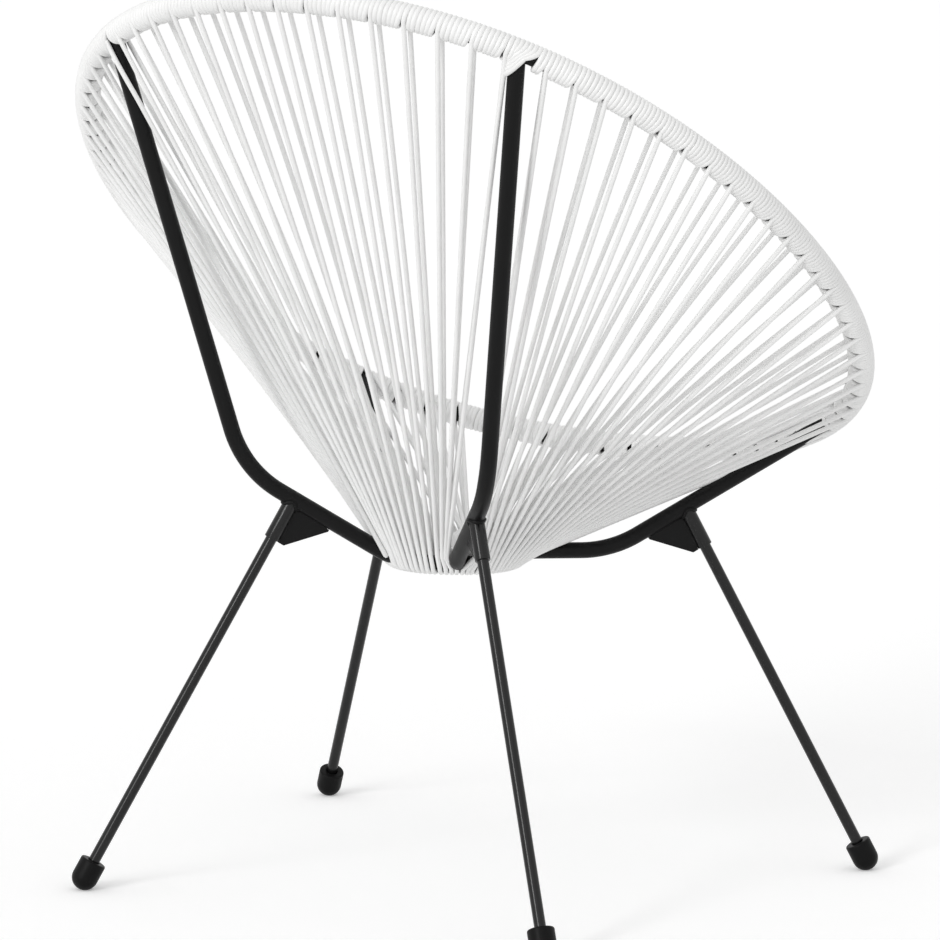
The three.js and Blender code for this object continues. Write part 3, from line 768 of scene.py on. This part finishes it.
def turned_mesh(name, base, axis, profile, sides):
    """A profile of radius and height turned about an axis: at each height a circle of that radius. The
    circles start square to the axis and to a slanted way, which no axis here follows."""
    profile = np.asarray(profile, dtype=float)
    centre = np.asarray(base)[None, :] + np.asarray(axis)[None, :] * profile[:, 1:2]
    first = unit(np.cross(axis, SLANTED_WAY))
    second = np.cross(axis, first)
    angle = np.arange(sides) * (2 * math.pi / sides)
    circle = first[None, :] * np.cos(angle)[:, None] + second[None, :] * np.sin(angle)[:, None]
    vertices = (centre[:, None, :] + profile[:, 0][:, None, None] * circle[None]).reshape(-1, 3)
    rows = np.arange(len(profile) - 1)
    cols = np.arange(sides)
    next_cols = (cols + 1) % sides
    a = rows[:, None] * sides + cols[None, :]
    b = rows[:, None] * sides + next_cols[None, :]
    c = (rows[:, None] + 1) * sides + next_cols[None, :]
    d = (rows[:, None] + 1) * sides + cols[None, :]
    faces = np.stack([a, b, c, d], axis=-1).reshape(-1, 4).tolist()
    faces.append(list(range(sides))[::-1])
    faces.append(list(range((len(profile) - 1) * sides, len(profile) * sides)))
    mesh = bpy.data.meshes.new(name)
    mesh.from_pydata(vertices.tolist(), [], faces)
    mesh.polygons.foreach_set("use_smooth", [True] * len(mesh.polygons))
    mesh.set_sharp_from_angle(angle=SHARP_EDGE)
    mesh.update()
    return mesh


def rounded(profile, radius, points=5):
    """A profile with each inner corner replaced by a quadratic curve, which starts and ends the given
    radius from the corner, or just under half way to the next one, and has the corner as its middle."""
    out = [profile[0]]
    for before, corner, after in zip(profile[:-2], profile[1:-1], profile[2:]):
        before, corner, after = (np.asarray(p, dtype=float) for p in (before, corner, after))
        reach_in = min(radius, np.linalg.norm(corner - before) / 2.1)
        reach_out = min(radius, np.linalg.norm(after - corner) / 2.1)
        enter = corner - unit(corner - before) * reach_in
        leave = corner + unit(after - corner) * reach_out
        t = np.linspace(0, 1, points)[:, None]
        curve = (1 - t) ** 2 * enter + 2 * t * (1 - t) * corner + t ** 2 * leave
        out.extend(curve.tolist())
    out.append(profile[-1])
    return out


def saddle_bead(name, weld, down, tube_way):
    """The weld bead where a socket meets its side tube: a small round profile with ripples, carried along
    the line where the two cylinders cross. Along the socket's axis that line is the larger root of the
    squared distance from the tube's axis equalling the tube's squared radius."""
    first = unit(np.cross(down, tube_way))
    second = np.cross(down, first)
    angle = np.arange(BEAD_POINTS) * (2 * math.pi / BEAD_POINTS)
    around = (first * np.cos(angle)[:, None] + second * np.sin(angle)[:, None]) * SOCKET_RADIUS
    down_off = down - tube_way * np.dot(down, tube_way)
    around_off = around - tube_way * (around @ tube_way)[:, None]
    half_cross = around_off @ down_off
    square = float(down_off @ down_off)
    spare = np.sum(around_off ** 2, axis=1) - TUBE_RADIUS ** 2
    height = (-half_cross + np.sqrt(np.maximum(half_cross ** 2 - square * spare, 0))) / square
    points = weld + around + down * height[:, None]
    radius = BEAD_RADIUS * (1 + BEAD_RIPPLE_DEPTH * np.cos(angle * BEAD_RIPPLES))
    return tube_mesh(name, points, unit(around), radius, BEAD_SIDES, closed=True)


leg_axes = {}
for leg_name, (foot_x, foot_y, side, from_corner, to_corner) in FEET.items():
    corners = side_corners(side)
    weld = corners[from_corner] + (corners[to_corner] - corners[from_corner]) * SOCKET_PLACE
    foot = np.array([foot_x, foot_y, FOOT_HEIGHT])
    reach = float(np.linalg.norm(foot - weld))
    down = (foot - weld) / reach
    leg_axes[leg_name] = (weld, foot, down)
    socket_profile = rounded(
        [
            (LEG_RADIUS + SOCKET_FIT, SOCKET_START),
            (SOCKET_RADIUS, SOCKET_START),
            (SOCKET_RADIUS, SOCKET_END),
            (LEG_RADIUS + SOCKET_FIT, SOCKET_END),
        ],
        SOCKET_ROUNDING,
    )
    add_piece(
        f"leg_socket_{leg_name}_steel",
        turned_mesh(f"leg_socket_{leg_name}_steel", weld, down, socket_profile, LEG_SIDES),
        leg_coat,
        "frame_paint",
        f"leg_socket_{leg_name}",
    )
    tube_way = unit(corners[to_corner] - corners[from_corner])
    add_piece(
        f"weld_bead_{leg_name}",
        saddle_bead(f"weld_bead_{leg_name}", weld, down, tube_way),
        frame_coat,
        "frame_paint",
    )
    leg_profile = [(LEG_RADIUS, height) for height in (LEG_START, reach * 0.5, reach - LEG_END_GAP)]
    add_piece(
        f"leg_{leg_name}_rod",
        turned_mesh(f"leg_{leg_name}_rod", weld, down, leg_profile, LEG_SIDES),
        leg_coat,
        "frame_paint",
        f"leg_{leg_name}",
    )

# A flat three-cornered gusset of 3 mm plate stiffens each socket, welded along the tube and down the socket.
# The CAD plate stays and takes the frame's coat, and the weld beads along both its edges are laid here.
GUSSET_REACH = 0.047
GUSSET_SIDES = {"rear_left": 1, "rear_right": 1, "front_left": -1, "front_right": -1}
GUSSET_BEAD_RADIUS = 0.0022
GUSSET_BEAD_TIP = 0.02
GUSSET_BEAD_POINTS = 60
GUSSET_BEAD_SIDES = 10


def straight_bead(name, start, end, normal):
    """A weld bead laid from one point to another: a small round profile that tapers to a tip at its ends,
    by one less the sixth power of the distance from its middle."""
    share = np.linspace(0, 1, GUSSET_BEAD_POINTS)[:, None]
    points = np.asarray(start) * (1 - share) + np.asarray(end) * share
    radius = GUSSET_BEAD_RADIUS * (1 + GUSSET_BEAD_TIP - np.abs(2 * share[:, 0] - 1) ** 6)
    return tube_mesh(name, points, np.broadcast_to(normal, points.shape), radius, GUSSET_BEAD_SIDES)


for leg_name, (_, _, side, from_corner, to_corner) in FEET.items():
    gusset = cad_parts[f"gusset_{leg_name}"]
    gusset.data.materials.clear()
    gusset.data.materials.append(frame_coat)
    weld, _, down = leg_axes[leg_name]
    corners = side_corners(side)
    tube_way = unit(corners[to_corner] - corners[from_corner]) * GUSSET_SIDES[leg_name]
    under = unit(down - tube_way * np.dot(down, tube_way)) * TUBE_RADIUS
    beside = unit(tube_way - down * np.dot(tube_way, down)) * SOCKET_RADIUS
    add_piece(
        f"gusset_tube_weld_{leg_name}",
        straight_bead(
            f"gusset_tube_weld_{leg_name}",
            weld + under + tube_way * (SOCKET_RADIUS + BEAD_RADIUS),
            weld + under + tube_way * (GUSSET_REACH - BEAD_RADIUS),
            under,
        ),
        frame_coat,
        "frame_paint",
    )
    add_piece(
        f"gusset_socket_weld_{leg_name}",
        straight_bead(
            f"gusset_socket_weld_{leg_name}",
            weld + beside + down * (TUBE_RADIUS + BEAD_RADIUS),
            weld + beside + down * (SOCKET_END - BEAD_RADIUS),
            beside,
        ),
        frame_coat,
        "frame_paint",
    )

# A moulded rubber cap is pushed over each leg's end: a short straight skirt with a rounded lip, closed by a
# ball, with a small worn flat where it stands.
CAP_SKIRT = 0.018
CAP_SKIRT_START = 0.0005
CAP_MOUTH = 0.010
CAP_FIT = 0.0002
CAP_ROUNDING = 0.002
CAP_LIP_POINTS = 7
CAP_BALL_POINTS = 20
CAP_POLE = 0.02
CAP_SIDES = 48
foot_rubber = powder_coat("black_foot_rubber", 0.005, 0.42, 0.10)
for leg_name, (_, foot, down) in leg_axes.items():
    ball_turn = np.linspace(CAP_POLE, math.pi / 2, CAP_BALL_POINTS)
    ball = np.stack([CAP_RADIUS * np.sin(ball_turn), -CAP_RADIUS * np.cos(ball_turn)], axis=-1)
    skirt = rounded(
        [
            (CAP_RADIUS, CAP_SKIRT_START),
            (CAP_RADIUS, CAP_SKIRT),
            (LEG_RADIUS + CAP_FIT, CAP_SKIRT),
            (LEG_RADIUS + CAP_FIT, CAP_MOUTH),
        ],
        CAP_ROUNDING,
        CAP_LIP_POINTS,
    )
    cap_mesh = turned_mesh(f"foot_cap_{leg_name}_rubber", foot, -down, ball.tolist() + skirt, CAP_SIDES)
    coordinates = np.empty(len(cap_mesh.vertices) * 3)
    cap_mesh.vertices.foreach_get("co", coordinates)
    coordinates = coordinates.reshape(-1, 3)
    # The worn flat: nothing goes below the floor.
    coordinates[:, 2] = np.maximum(coordinates[:, 2], 0)
    cap_mesh.vertices.foreach_set("co", coordinates.ravel())
    add_piece(f"foot_cap_{leg_name}_rubber", cap_mesh, foot_rubber, "foot_rubber", f"foot_cap_{leg_name}")

# The chair is whole. The box of its solids and the box of what shows are put side by side in one table, so
# that the two sizes can be compared.
boxes = {"cad": cad_box, "visual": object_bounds()}
boxes = {name: [list(map(float, corner)) for corner in box] for name, box in boxes.items()}
